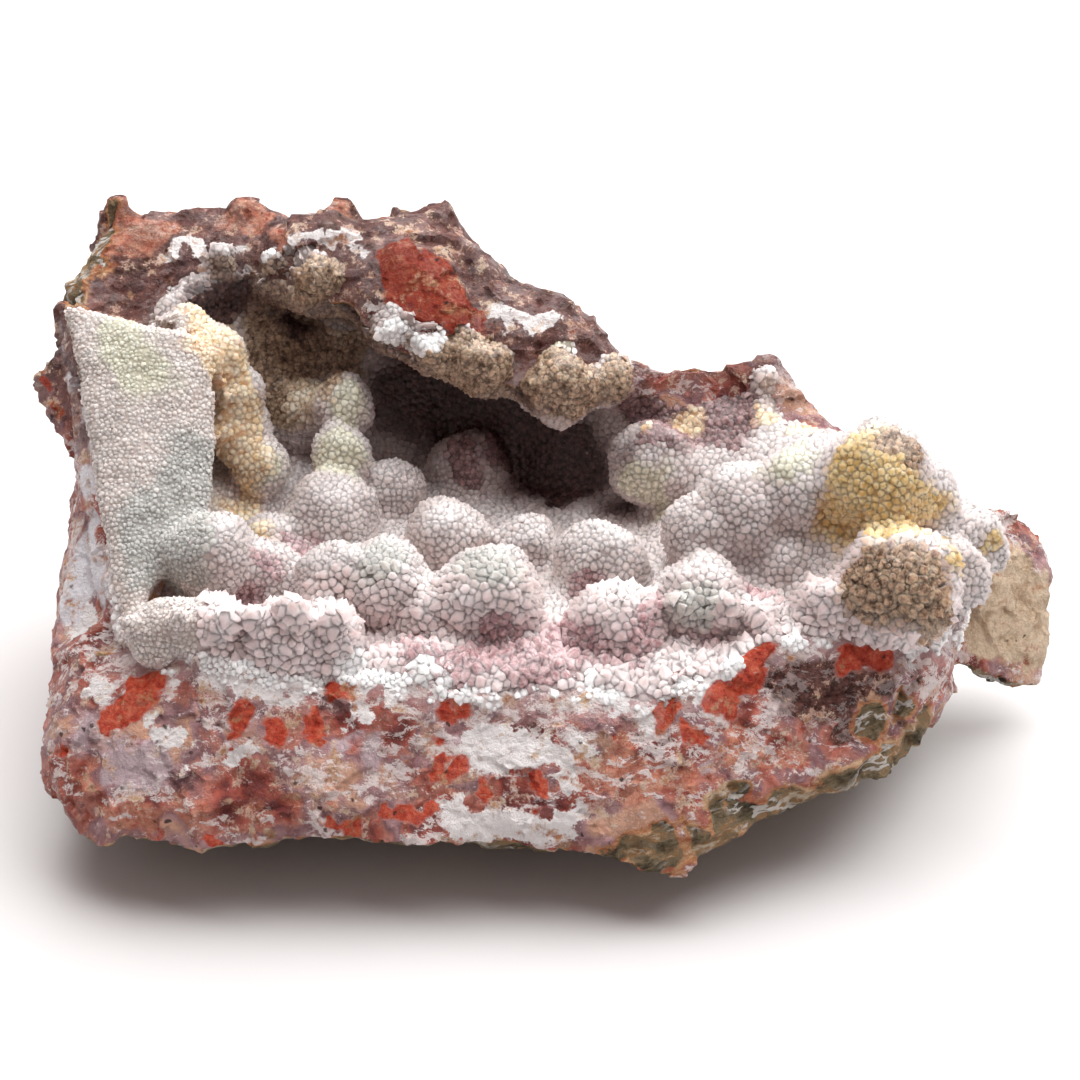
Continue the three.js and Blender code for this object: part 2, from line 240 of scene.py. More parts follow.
def growth(name):
    """A geometry node tree with a way in and a way out."""
    tree = bpy.data.node_groups.new(name, "GeometryNodeTree")
    for side in ("INPUT", "OUTPUT"):
        tree.interface.new_socket("Geometry", in_out=side, socket_type="NodeSocketGeometry")
    source = Field(tree, tree.nodes.new("NodeGroupInput").outputs[0])
    return source, tree.nodes.new("NodeGroupOutput").inputs[0]


def grow(piece, source, result, end):
    """Runs a geometry node tree on a piece."""
    source.tree.links.new(result.socket, end)
    piece.modifiers.new(source.tree.name, "NODES").node_group = source.tree
    return settle(piece)


def grown_value(start, name):
    """A painted value inside a geometry node tree."""
    kind = {"data_type": "FLOAT"}
    return start.node("GeometryNodeInputNamedAttribute", kind, {"Name": name}, "Attribute")


# Where each stone shows on the broken faces: x, y, z and radius of round patches, mm.
RED = [
    (-38.5, -23.7, 19.6, 1.5), (-40.2, -24.6, 18.4, 1.1), (-41.1, -25.5, 17.2, 0.8),
    (-28.9, -26.8, 18.7, 1.4), (-29.5, -28.2, 16.7, 0.7), (-25.2, -27.7, 17.7, 1.2),
    (-21.2, -26.8, 18.7, 0.9), (-22.3, -27.9, 17.5, 0.7), (-19.6, -24.9, 19.9, 0.9),
    (-8.6, -26.2, 18.8, 1.1), (-10.5, -27.6, 16.7, 0.8), (-10.1, -29.2, 14.4, 0.8),
    (-8.2, -29.3, 14.5, 0.7), (-1.1, -30.6, 13.8, 0.9), (-3.3, -32.1, 12.3, 0.5),
    (-1.6, -32.0, 12.3, 0.4), (-6.5, -30.7, 13.2, 0.6), (19.8, -21.9, 22.5, 1.5),
    (19.1, -23.8, 20.4, 1.4), (16.9, -25.6, 19.5, 1.4), (11.1, -26.6, 18.6, 1.2),
    (13.2, -27.8, 17.6, 0.8), (5.6, -28.4, 16.6, 0.5), (29.1, -20.2, 21.3, 1.5),
    (32.0, -19.3, 21.1, 1.4), (-19.9, -33.1, 10.6, 0.7), (-17.8, -32.5, 10.4, 0.8),
    (-15.5, -32.2, 10.6, 0.8), (-13.4, -32.4, 11.2, 0.8), (-11.4, -32.1, 11.3, 0.8),
    (-31.1, -33.6, 9.5, 0.7), (-28.3, -32.9, 9.3, 0.6), (-40.4, -31.7, 8.4, 0.6),
    (-36.5, -32.4, 8.7, 0.6), (-49.8, -14.3, 17.2, 0.8), (-46.8, -25.5, 14.5, 0.8),
    (-15.8, 18.6, 46.5, 1.7), (-14.4, 17.9, 45.5, 2.2), (-13.4, 17.1, 44.3, 2.4),
    (-14.8, 16.1, 42.8, 1.9), (-11.9, 16.1, 42.9, 2.8), (-9.5, 15.4, 41.8, 2.3),
    (-7.6, 16.1, 39.9, 1.4), (-13.1, 14.9, 41.1, 1.9), (-51.1, 9.0, 35.6, 0.6),
    (-50.4, 7.6, 34.8, 0.7), (-49.9, 6.5, 33.8, 0.6), (-51.8, 10.3, 36.5, 0.4),
]
SALMON = [
    (-44.7, 26.8, 46.2, 2.7), (-45.0, 24.7, 44.8, 2.2), (-41.3, 25.9, 45.4, 2.1),
    (-32.8, 27.3, 47.1, 2.2), (-30.3, 26.1, 46.7, 2.1), (-28.1, 22.5, 46.8, 1.5),
    (-21.5, 27.0, 47.7, 1.8), (5.9, -29.9, 14.7, 2.3), (8.3, -30.9, 13.3, 2.1),
    (11.0, -29.8, 14.7, 1.9), (7.8, -28.6, 16.3, 1.4), (13.4, -29.9, 13.5, 1.4),
    (17.8, -26.8, 16.2, 1.7), (18.0, -28.1, 14.4, 1.2), (20.9, -27.3, 14.5, 1.4),
    (23.6, -26.5, 14.4, 1.2), (1.2, -25.6, 19.7, 1.4), (-43.3, -27.6, 14.0, 1.0),
    (-43.8, -29.1, 11.8, 1.4), (-40.2, -31.6, 10.8, 1.9), (-37.4, -31.9, 10.2, 1.6),
    (-33.4, -32.4, 11.7, 1.9), (-27.3, -32.5, 11.8, 1.6), (-24.0, -32.4, 12.4, 1.2),
    (-20.3, -32.4, 13.0, 1.0),
]
FROST = [
    (-31.9, -23.8, 21.8, 1.3), (-29.3, -24.6, 21.7, 1.3), (-26.7, -24.7, 21.0, 1.2),
    (-23.7, -24.7, 20.3, 1.2), (-21.7, -24.4, 20.5, 0.9), (-18.5, -23.2, 21.5, 1.2),
    (-16.2, -24.0, 21.1, 1.1), (-14.6, -25.3, 20.6, 0.8), (-10.1, -25.0, 21.6, 1.3),
    (-8.0, -25.4, 20.3, 1.1), (-35.0, -27.8, 16.7, 1.4), (-35.7, -27.2, 17.4, 0.7),
    (-28.6, -28.7, 16.1, 1.0), (-29.6, -29.2, 15.3, 0.6), (-17.4, -26.9, 18.8, 1.1),
    (-18.6, -26.0, 19.3, 0.7), (-6.1, -28.6, 15.9, 1.9), (-3.7, -29.0, 15.7, 1.9),
    (-1.2, -28.7, 16.4, 1.6), (0.8, -29.4, 15.5, 1.1), (-8.9, -32.2, 10.8, 1.4),
    (-6.5, -32.2, 9.9, 1.6), (-4.0, -33.1, 10.1, 1.6), (-1.4, -33.2, 9.9, 1.6),
    (1.0, -32.8, 10.4, 1.4), (2.5, -31.8, 12.0, 1.0), (5.0, -25.1, 20.5, 1.1),
    (7.3, -25.5, 19.7, 1.1), (9.3, -26.3, 18.8, 1.1), (6.1, -26.6, 18.8, 0.8),
    (12.4, -24.8, 20.4, 0.9), (15.0, -25.4, 20.3, 0.9), (16.5, -24.7, 20.9, 0.8),
    (17.9, -23.3, 21.9, 0.7), (-46.6, -12.5, 20.3, 1.2), (-43.5, -22.5, 19.0, 1.0),
    (-42.1, -24.3, 18.2, 0.7), (-37.4, -25.8, 18.5, 0.7), (1.4, -30.8, 13.7, 0.9),
    (3.6, -28.4, 16.9, 0.8), (-33.6, -29.3, 14.8, 0.8), (-17.8, 14.5, 42.1, 1.2),
    (-15.6, 12.7, 40.7, 1.4), (-13.1, 11.9, 39.6, 1.2), (-11.0, 12.7, 40.1, 1.0),
    (-4.9, 15.8, 39.8, 1.0), (-1.7, 15.6, 39.3, 1.0), (-0.1, 16.5, 40.0, 0.8),
    (-20.4, 21.1, 46.6, 0.8), (-26.4, 21.2, 46.5, 0.7), (-24.3, 21.1, 46.8, 0.7),
    (-22.2, 20.9, 46.6, 0.7), (-20.4, 20.4, 46.1, 0.7), (-19.0, 19.6, 45.4, 0.6),
    (-38.9, 23.5, 44.1, 0.7), (-36.8, 24.1, 44.3, 0.9), (-34.2, 22.1, 45.4, 0.8),
    (-32.0, 23.5, 44.6, 0.8), (-29.5, 20.2, 45.8, 0.8), (-18.0, 13.5, 41.1, 0.8),
    (-17.0, 12.2, 39.8, 0.8), (-15.5, 12.7, 38.2, 0.8), (-13.1, 11.9, 39.6, 0.8),
    (-11.0, 12.9, 40.2, 0.8), (-7.5, 16.1, 39.9, 0.7), (-5.2, 16.1, 40.1, 0.8),
    (-2.8, 16.0, 39.9, 0.8), (-0.7, 15.9, 39.5, 0.7),
]
LILAC = [
    (-43.9, -25.5, 16.0, 1.9), (-40.3, -27.7, 15.7, 1.9), (-37.8, -29.5, 14.6, 1.9),
    (-35.9, -30.4, 13.9, 1.3), (-41.3, -28.8, 13.9, 1.1), (-19.4, -29.1, 16.7, 1.5),
    (-16.2, -28.9, 16.1, 1.3), (-13.7, -29.1, 15.3, 0.9), (-8.7, -27.7, 16.4, 0.8),
    (-37.4, -28.5, 15.8, 1.1), (-4.0, -31.5, 12.9, 0.7), (0.1, -31.7, 12.6, 0.7),
    (14.4, -28.8, 15.0, 0.8), (8.9, -21.7, 20.8, 1.1), (5.0, -22.6, 21.4, 1.1),
]
PALE = [
    (-48.3, 1.7, 26.1, 1.7), (-45.6, -5.8, 28.0, 1.7), (-45.9, -7.1, 25.9, 1.9),
    (-46.6, -8.6, 23.3, 1.9), (-44.8, -11.2, 23.1, 1.7), (-47.2, -11.3, 20.9, 1.4),
    (-44.6, -9.4, 25.5, 1.7), (-46.1, -2.6, 30.8, 1.2), (-48.3, 6.0, 37.1, 1.0),
    (-47.0, 2.3, 36.1, 1.2), (-45.8, -1.0, 34.5, 1.2), (-44.8, -6.5, 28.4, 0.9),
    (-45.1, -4.2, 31.7, 0.8), (-44.4, -8.9, 26.4, 0.8),
]
HOST = [
    (8.7, -33.8, 8.3, 1.7), (10.8, -34.2, 7.2, 1.4), (10.4, -33.2, 9.3, 1.2),
    (14.4, -32.9, 8.6, 1.6), (17.1, -31.6, 9.0, 1.6), (19.4, -30.6, 9.4, 1.4),
    (21.9, -29.3, 10.1, 1.4), (24.1, -28.5, 10.7, 1.2), (5.9, -33.8, 7.8, 0.9),
    (26.6, -27.7, 10.6, 1.2), (28.9, -27.3, 10.8, 1.2), (15.5, -30.8, 11.2, 1.0),
    (17.8, -30.1, 11.6, 1.0), (30.1, -26.5, 12.1, 1.6), (32.8, -24.6, 11.6, 1.8),
    (35.3, -21.7, 11.5, 1.7), (36.6, -19.6, 13.2, 1.4), (34.6, -21.0, 16.1, 1.0),
    (31.2, -23.2, 15.6, 1.2), (-50.6, 20.1, 41.0, 2.1), (-49.0, 22.5, 42.7, 2.1),
    (-47.7, 25.5, 44.7, 1.8), (-47.2, 28.0, 46.8, 1.2),
]
DARK = [
    (21.7, -23.1, 19.9, 1.7), (24.1, -22.2, 20.2, 2.0), (27.0, -22.0, 19.6, 2.0),
    (30.0, -21.9, 19.1, 2.0), (32.4, -22.0, 18.5, 1.6), (26.1, -23.2, 17.5, 1.7),
    (29.0, -23.2, 16.7, 1.4), (23.3, -23.7, 18.3, 1.3), (28.5, -24.0, 15.0, 1.2),
    (-45.2, 22.1, 42.5, 1.3), (-43.1, 22.8, 43.3, 1.1), (-18.4, 23.9, 47.4, 0.8),
    (-15.9, 22.8, 47.4, 0.8), (-11.3, 25.8, 46.6, 0.9), (-8.2, 27.1, 44.9, 0.9),
    (-6.4, 23.5, 43.7, 1.4), (-3.7, 23.0, 41.4, 1.4), (-0.7, 19.2, 41.2, 1.3),
    (2.5, 18.6, 40.1, 1.2), (5.7, 20.7, 37.8, 1.1), (-38.3, 28.8, 46.5, 0.9),
    (-35.6, 28.1, 46.1, 0.6), (-41.5, 28.3, 46.5, 0.4),
]
TAN = [
    (-20.2, -29.8, 16.0, 0.9), (-19.4, -30.6, 15.2, 0.7), (-26.8, -29.7, 15.2, 0.8),
    (-32.7, -29.3, 14.9, 0.7), (-43.3, -28.4, 13.1, 0.9), (-42.7, -29.6, 12.0, 0.9),
    (31.4, -22.5, 17.6, 1.0), (33.9, -21.4, 16.0, 0.8), (-26.5, -32.4, 9.4, 0.9),
    (-24.7, -32.5, 8.8, 0.9), (-22.1, -33.1, 8.7, 0.8), (-18.6, -32.6, 8.3, 0.8),
    (-6.4, -29.0, 4.4, 0.9), (-2.6, -29.9, 5.1, 1.0), (1.2, -33.1, 7.6, 1.0),
    (4.0, -33.2, 7.8, 0.8), (-10.1, -33.4, 8.5, 0.8), (-44.4, -31.1, 6.6, 0.8),
    (-41.3, -32.2, 7.1, 0.7), (-41.7, 19.2, 41.9, 1.2), (-40.0, 17.6, 41.5, 0.8),
    (-44.0, 19.7, 40.7, 0.8), (-50.1, -15.6, 16.0, 0.7), (-23.1, -32.2, 12.9, 0.7),
    (-30.4, -32.1, 12.2, 0.6),
]
STRAW = [
    (47.1, -0.4, 15.4, 3.1), (50.6, 0.7, 12.3, 3.1), (49.4, 2.1, 16.9, 2.7), (52.4, 2.6, 13.6, 2.1),
    (48.3, -1.6, 11.3, 2.5), (45.3, -2.8, 13.2, 2.1), (51.9, 0.1, 9.0, 2.1),
]
WALL_PATCHES = {
    "red": RED, "salmon": SALMON, "frost": FROST, "lilac": LILAC, "pale": PALE, "dark": DARK,
    "tan": TAN, "straw": STRAW,
}
WALL_GRAIN = 0.46
WALL_TRIANGLES = 192000
CHIPS = ((8.0, 0.60), (3.2, 0.34), (1.5, 0.16))  # size and height of the chips, mm
RUBBLE = 0.55  # depth of the crumbs of the host rock, mm
ROOF = 30  # the height at which the overhanging roof begins, mm

noise.seed_set(5)  # so that every run tears the patches alike
wall = regrain(copy_of("chalcedony_wall"), WALL_GRAIN, 2)
facing = normals_of(wall)
skin_of_rock = np.clip(4 * np.maximum(facing[:, 1] - 0.45, -facing[:, 2] - 0.35), -1, 1)
places = torn(points_of(wall), (3.0, 1.6), (1.0, 0.6))
paint(wall, "host", np.maximum(inside_of(places, HOST), skin_of_rock))

start, end = growth("chipping")
place = start.node("GeometryNodeInputPosition")
outward = start.node("GeometryNodeInputNormal")
height = (place.noise(6.0, 4.0) - 0.5) * 1.2
for size, depth in CHIPS:
    middle = place.cells(size, "Position")
    tilt = place.cells(size, "Color").vector("SUBTRACT", (0.5, 0.5, 0.5)).scaled(2 * depth / size)
    offset = place.vector("SUBTRACT", middle)
    height = height + tilt.vector("DOT_PRODUCT", offset)
rubble = place.bent(2.0, 1.2).cells(2.4, "Distance")
height = height - rubble * RUBBLE * grown_value(start, "host").above(-0.2, 0.4)
moved = {"Geometry": start, "Offset": outward.scaled(height)}
wall = grow(wall, start, start.node("GeometryNodeSetPosition", None, moved), end)
fewer = wall.modifiers.new("fewer faces", "DECIMATE")
fewer.ratio = min(1.0, WALL_TRIANGLES / (2 * len(wall.data.polygons)))
settle(wall)
places = torn(points_of(wall), (3.0, 1.6), (1.0, 0.6))
for name, patches in WALL_PATCHES.items():
    paint(wall, name, inside_of(places, patches))
paint(wall, "roof", np.clip((points_of(wall)[:, 2] - ROOF) / 6, 0, 1))


def stone_finish(name, roughness, depth, radius):
    """A new material for stone that light goes some way into, and its place in millimetres."""
    finish = bpy.data.materials.new(name)
    finish.use_nodes = True
    surface = finish.node_tree.nodes["Principled BSDF"]
    surface.inputs["Roughness"].default_value = roughness
    surface.inputs["Subsurface Weight"].default_value = depth
    surface.inputs["Subsurface Radius"].default_value = radius
    surface.inputs["Subsurface Scale"].default_value = 0.001
    surface.inputs["Specular IOR Level"].default_value = 0.3
    corner = finish.node_tree.nodes.new("ShaderNodeTexCoord")
    place = Field(finish.node_tree, corner.outputs["Object"]).scaled(1000.0)
    return finish, surface, place


def painted(place, name):
    """A painted value inside a material."""
    return place.node("ShaderNodeAttribute", {"attribute_name": name}, None, "Fac")


def laid(surface, **fields):
    """Links fields to the sockets of a surface."""
    for name, field in fields.items():
        field.tree.links.new(field.socket, surface.inputs[name.replace("_", " ")])


chalcedony, surface, place = stone_finish("chalcedony", 0.3, 0.0, (1.0, 0.6, 0.5))
fine = place.noise(0.8, 8.0, 0.7)
grit = place.noise(2.2, 8.0, 0.75)
ragged = (grit - 0.5) * 2.2
roof = painted(place, "roof")
cloud = place.bent(5.0, 4.0).noise(6.0, 3.0, 0.5)
colour = cloud.toned(
    (0.36, (0.20, 0.05, 0.045)), (0.42, (0.42, 0.10, 0.07)), (0.48, (0.54, 0.22, 0.17)),
    (0.53, (0.30, 0.15, 0.16)), (0.58, (0.46, 0.27, 0.28)), (0.64, (0.66, 0.38, 0.27)),
)
dusk = grit.toned((0.38, (0.06, 0.022, 0.02)), (0.5, (0.15, 0.08, 0.072)), (0.62, (0.26, 0.12, 0.09)))
colour = colour.mixed(dusk, roof * 0.85)
near_rim = (painted(place, "rim") + ragged * 0.45).above(0.35, 0.8)
colour = colour.mixed((0.56, 0.42, 0.43), near_rim * 0.7)
colour = colour.mixed((0.58, 0.45, 0.48), (painted(place, "lilac") + ragged * 0.35).above(-0.25, 0.3))
salmon = (painted(place, "salmon") + ragged * 0.5).above(-0.15, 0.3)
colour = colour.mixed(fine.toned((0.35, (0.46, 0.10, 0.055)), (0.6, (0.74, 0.36, 0.24))), salmon * 0.85)
dark = (painted(place, "dark") + ragged * 0.6).above(-0.3, 0.15)
colour = colour.mixed(fine.toned((0.4, (0.045, 0.014, 0.011)), (0.62, (0.19, 0.085, 0.07))), dark)
tan = (painted(place, "tan") + ragged * 0.5).above(-0.1, 0.15)
colour = colour.mixed(fine.toned((0.35, (0.38, 0.17, 0.09)), (0.6, (0.66, 0.44, 0.30))), tan)

# Fractures show white where the stone is bruised, in thin torn flakes.
streaks = place.bent(1.8, 1.8).vector("MULTIPLY", (0.6, 1.25, 1.25)).noise(1.5, 8.0, 0.78)
where = place.noise(5.0, 2.0)
chips = 0.0
for size, part in ((2.2, 0.55), (0.9, 0.45)):
    near = place.bent(size, 1.2 * size)
    chosen = near.cells(size, "Color")
    chips = chosen.vector("DOT_PRODUCT", (0.33, 0.33, 0.33)) * part + chips
bruised = streaks + (where - 0.5) * 0.45 + painted(place, "rim").above(-0.4, 0.6) * 0.03
flecks = bruised.above(0.54, 0.565) * (1.0 - dark * 0.7) * (1.0 - roof * 0.85)
colour = colour.scaled(0.42 + chips * 1.15)
colour = colour.mixed((0.90, 0.82, 0.80), flecks * 0.85)
red_level = painted(place, "red") + (place.noise(1.1, 5.0, 0.65) - 0.5) * 0.9
rim = red_level.above(-0.36, -0.2)
colour = colour.mixed((0.60, 0.36, 0.32), rim * 0.5 * (1.0 - roof))
red = red_level.above(-0.3, -0.05)
jasper = fine.toned((0.35, (0.34, 0.03, 0.016)), (0.5, (0.60, 0.08, 0.04)), (0.66, (0.74, 0.20, 0.11)))
jasper = jasper.scaled(1.0 - roof * 0.4)
colour = colour.mixed(jasper, red)
frost = (painted(place, "frost") + ragged * 1.1).above(-0.3, -0.18) * (1.0 - red * 0.9)
colour = colour.mixed(fine.toned((0.3, (0.80, 0.74, 0.73)), (0.48, (0.97, 0.95, 0.94))), frost)
pale = (painted(place, "pale") + ragged * 0.4).above(-0.3, 0.1)
colour = colour.mixed(fine.toned((0.3, (0.78, 0.77, 0.81)), (0.6, (0.93, 0.93, 0.97))), pale)
straw = (painted(place, "straw") + ragged * 0.4).above(-0.3, 0.1)
colour = colour.mixed(grit.toned((0.36, (0.48, 0.32, 0.19)), (0.6, (0.92, 0.77, 0.57))), straw)
specks = place.bent(0.7, 0.8).cells(2.0, "Distance").above(0.15, 0.08)
specks = specks * place.noise(6.0, 1.0).above(0.45, 0.55)
colour = colour.mixed((0.04, 0.02, 0.018), specks * 0.9)

# The host rock: dark green-grey crumbs with pale veins, and a thin orange skin where it came away.
host_level = painted(place, "host") + ragged * 0.5
lying = {"Vector": place, "Rotation": (0, -0.12, 0.5), "Scale": (2.8, 1.0, 0.9)}
layers = place.node("ShaderNodeMapping", {"vector_type": "TEXTURE"}, lying)
crumb = layers.bent(1.6, 1.4).noise(2.2, 8.0, 0.72)
rock = crumb.toned(
    (0.36, (0.03, 0.022, 0.014)), (0.45, (0.13, 0.10, 0.055)), (0.52, (0.26, 0.20, 0.12)),
    (0.57, (0.34, 0.18, 0.07)), (0.63, (0.58, 0.50, 0.38)),
)
veins = layers.bent(2.0, 2.4).noise(1.9, 3.0, 0.6)
veins = veins.above(0.54, 0.56) * veins.above(0.64, 0.61) * place.noise(7.0, 2.0).above(0.40, 0.54)
rock = rock.mixed((0.68, 0.66, 0.62), veins * 0.85)
skin = crumb.toned((0.4, (0.36, 0.10, 0.05)), (0.5, (0.55, 0.26, 0.12)), (0.6, (0.68, 0.48, 0.30)))
colour = colour.mixed(skin, (painted(place, "host") + ragged * 0.7).above(-0.42, -0.2))
host = host_level.above(-0.08, 0.05)
colour = colour.mixed(rock, host)

laid(surface, Base_Color=colour)
rough = 0.10 + fine * 0.2 + frost * 0.3 + host * 0.55
laid(surface, Roughness=rough)
relief = place.noise(1.6, 6.0, 0.78) * 0.7
bump = {"Strength": 1.0, "Distance": 0.0018, "Height": relief}
laid(surface, Normal=relief.node("ShaderNodeBump", None, bump))

# --- The crust of the hollow --------------------------------------------------------------------
# Quartz that coats the hollow: a skin 1 to 2 mm thick with round lumps, grown fast to the wall.
# Its face is a coat of blunt crystals under 1 mm wide, each leaning its own way.

YELLOW = [
    (31.3, -10.5, 36.2, 3.4), (34.4, -11.6, 35.1, 3.4), (29.3, -11.3, 33.3, 3.2),
    (36.8, -9.9, 31.2, 2.9), (34.1, -12.0, 31.6, 2.9), (28.3, -8.8, 29.7, 2.5),
    (39.7, -15.2, 29.0, 2.1), (31.1, -12.0, 33.7, 3.2), (28.8, -8.6, 37.4, 2.1),
    (45.6, -4.7, 24.5, 1.6),
]
# Brown: on the right the brown lumps' own colour; under the roof and in the cave partly painted shade
# as well.
BROWN = [
    (32.4, -19.8, 28.9, 3.1), (34.7, -20.7, 27.8, 3.1), (30.7, -18.1, 29.8, 2.3),
    (36.8, -20.9, 25.4, 2.5), (34.5, -18.9, 30.2, 2.8), (30.5, -19.5, 27.1, 2.0),
    (33.7, -7.8, 38.1, 1.8), (35.6, -8.5, 37.3, 1.7), (-23.5, 16.1, 44.7, 3.0),
    (-21.0, 16.7, 43.0, 2.4), (-25.6, 16.4, 43.0, 2.4), (-31.6, 21.7, 42.6, 1.6),
    (-11.0, 11.2, 38.3, 2.4), (-8.4, 10.2, 37.9, 3.0), (-4.8, 10.4, 37.1, 3.4),
    (-2.2, 10.9, 36.2, 2.8), (-6.8, 10.9, 39.3, 2.0), (1.4, 9.4, 36.9, 3.0),
    (4.0, 9.7, 35.8, 3.4), (6.0, 12.4, 36.1, 2.4), (1.4, 8.5, 34.6, 2.3),
    (-28.2, 23.3, 34.5, 3.1), (-29.8, 21.5, 33.0, 3.1), (-26.7, 22.5, 31.7, 3.1),
    (-21.9, 24.4, 31.9, 2.2), (-29.7, 19.7, 30.3, 3.1), (-22.9, 16.0, 32.9, 2.2),
]
ORANGE = [
    (-35.1, 11.4, 40.9, 2.8), (-33.2, 9.2, 39.5, 2.8), (-32.3, 8.9, 36.8, 2.8),
    (-32.9, 8.5, 33.6, 2.8), (-32.6, 8.0, 30.3, 2.8), (-31.8, 6.4, 27.7, 2.5),
    (-30.9, 8.7, 31.7, 2.3), (-34.9, 20.6, 38.7, 1.6), (-31.4, 5.1, 23.0, 2.3),
    (-29.0, -1.2, 24.2, 1.4), (21.9, 11.9, 30.8, 1.6), (26.4, 10.2, 31.0, 1.6),
    (28.6, 8.9, 30.7, 1.4), (15.2, 13.2, 28.2, 1.3), (10.8, 10.1, 31.0, 1.0),
]
CREAM = [
    (-42.1, 6.4, 40.8, 3.1), (-40.9, 4.2, 39.1, 2.9), (-42.8, 8.4, 42.1, 1.9),
    (-29.4, 5.8, 28.0, 2.8), (-21.9, 7.3, 29.0, 2.8), (9.7, 5.6, 25.1, 2.5), (-0.2, 14.4, 37.6, 2.5),
    (31.2, -8.1, 38.2, 2.3), (-21.1, 12.6, 32.1, 2.3), (23.9, -4.8, 34.8, 2.2),
]
PINK = [
    (-23.3, -22.3, 25.4, 3.4), (-20.5, -23.1, 23.2, 2.3), (-25.6, -23.2, 24.9, 2.3),
    (-12.0, -24.5, 23.0, 2.5), (-4.5, -23.4, 21.7, 3.4), (1.2, -25.0, 21.6, 3.4),
    (7.0, -21.5, 21.0, 2.8), (10.9, -18.5, 20.8, 2.0), (-25.3, 0.5, 23.8, 2.8),
    (-7.1, 15.0, 24.9, 3.1), (-7.1, 13.0, 22.3, 3.1), (18.0, -7.6, 31.3, 2.4),
    (23.9, -11.0, 25.3, 2.6), (20.0, -9.1, 27.6, 2.4), (21.9, -8.5, 29.6, 2.4),
    (47.4, 5.5, 21.6, 2.8), (42.6, -7.1, 25.9, 2.4), (29.9, -20.1, 22.9, 2.3),
    (26.1, -19.9, 22.8, 1.8), (14.2, -5.5, 30.1, 2.4), (20.0, -5.9, 32.6, 2.4),
    (-40.3, -15.6, 24.7, 1.8), (-19.1, -13.7, 28.1, 1.7),
]
# Dark mauve: partly the stone's own mauve, and in the trough behind the front rim partly painted shade.
MAUVE = [
    (-11.1, -22.8, 23.0, 2.3), (-7.8, -21.6, 21.6, 2.6), (-4.5, -20.8, 21.6, 2.6),
    (-1.1, -21.8, 21.5, 2.6), (2.2, -20.4, 21.3, 2.6), (5.5, -20.4, 22.0, 2.6),
    (8.9, -20.3, 23.1, 2.1), (-4.5, -18.4, 21.9, 2.1), (1.3, -17.8, 21.5, 2.2),
    (-14.2, -18.9, 21.6, 1.8), (-37.4, -9.7, 22.2, 1.8), (-30.3, -11.4, 22.1, 1.8),
    (20.8, -13.8, 24.7, 1.6), (14.8, -17.6, 21.4, 1.8), (10.9, -16.7, 24.2, 1.6),
    (3.3, -10.4, 22.7, 1.6), (-27.7, -10.6, 26.2, 1.8), (-25.2, -1.2, 22.5, 2.2),
]
# Dark mauve-brown at the back of the cave: partly the inner wall's own colour, and deeper in the cave
# partly painted shade.
DUSKY = [
    (9.9, 15.4, 30.6, 3.0), (12.3, 15.1, 30.2, 3.2), (15.2, 14.6, 30.1, 3.6),
    (18.3, 13.4, 30.2, 3.2), (16.2, 12.5, 28.3, 2.6), (11.8, 8.7, 30.6, 2.3),
    (19.8, 10.9, 29.2, 2.1), (-9.8, 15.0, 24.8, 2.1), (-8.2, 12.8, 22.4, 1.9),
    (-5.0, 16.6, 24.0, 1.7), (-12.7, 21.7, 23.8, 1.3), (-2.9, 18.7, 19.2, 1.5),
    (1.5, 17.4, 21.1, 1.5),
]
# Painted shade: near-black patches on the crust deep inside the cave, where the hollow lies in shadow.
CAVE_SHADE = [
    (-37.0, 19.9, 42.3, 2.2), (-34.0, 20.5, 41.1, 2.8), (-31.1, 22.6, 39.0, 2.5),
    (-27.7, 25.0, 36.4, 2.5), (-23.2, 17.0, 39.2, 2.8), (-20.0, 16.3, 39.3, 2.2),
    (-17.3, 12.5, 37.9, 3.5), (-16.0, 23.5, 29.0, 5.2), (-13.8, 22.5, 25.8, 5.2),
    (-9.4, 23.2, 26.7, 5.2), (-5.0, 21.6, 25.1, 5.8), (-0.7, 18.9, 22.2, 5.8),
    (4.7, 16.7, 22.7, 5.2), (8.2, 8.5, 28.9, 3.3), (1.5, 16.4, 19.2, 3.2), (7.8, 9.8, 20.4, 2.5),
    (-34.6, 20.8, 39.8, 2.0), (-2.8, 11.1, 32.8, 2.8), (-25.7, 25.0, 34.3, 2.0),
]
TAWNY = [
    (-28.2, 23.3, 34.5, 3.2), (-29.8, 21.5, 33.0, 3.2), (-26.7, 22.5, 31.7, 3.2),
    (-21.9, 24.4, 31.9, 2.3), (-29.7, 19.7, 30.3, 3.6), (-27.3, 16.2, 30.2, 2.9),
    (-22.9, 16.0, 32.9, 2.3), (-25.7, 24.4, 33.4, 2.3),
]
# Painted shade: grey patches on the lower part of the slab and in a few low places on the lumps, where
# they lie in shadow.
DIM_SHADE = [
    (-37.0, -7.2, 29.4, 4.2), (-35.7, -4.0, 31.0, 3.6), (-37.9, -10.1, 27.6, 3.6),
    (-35.2, -1.3, 32.9, 2.5), (-35.8, -13.1, 27.7, 2.9), (-38.7, -12.5, 26.2, 2.4),
    (-34.7, -11.5, 29.6, 2.4), (-16.1, -13.9, 28.2, 2.5), (-5.5, -15.1, 28.8, 2.7),
    (14.7, -16.8, 25.4, 2.3), (-37.1, -8.1, 28.7, 2.2), (-37.9, -10.3, 27.4, 1.6),
]
CRUST_PATCHES = {
    "yellow": YELLOW, "brown": BROWN, "orange": ORANGE, "cream": CREAM, "pink": PINK, "mauve": MAUVE,
    "dusky": DUSKY, "deep": CAVE_SHADE, "tawny": TAWNY, "dim": DIM_SHADE, "frost": FROST,
}
CRUST_GRAIN = 0.58
FAST = 2.6  # a face of the crust with the wall this near above it is fast to it, mm
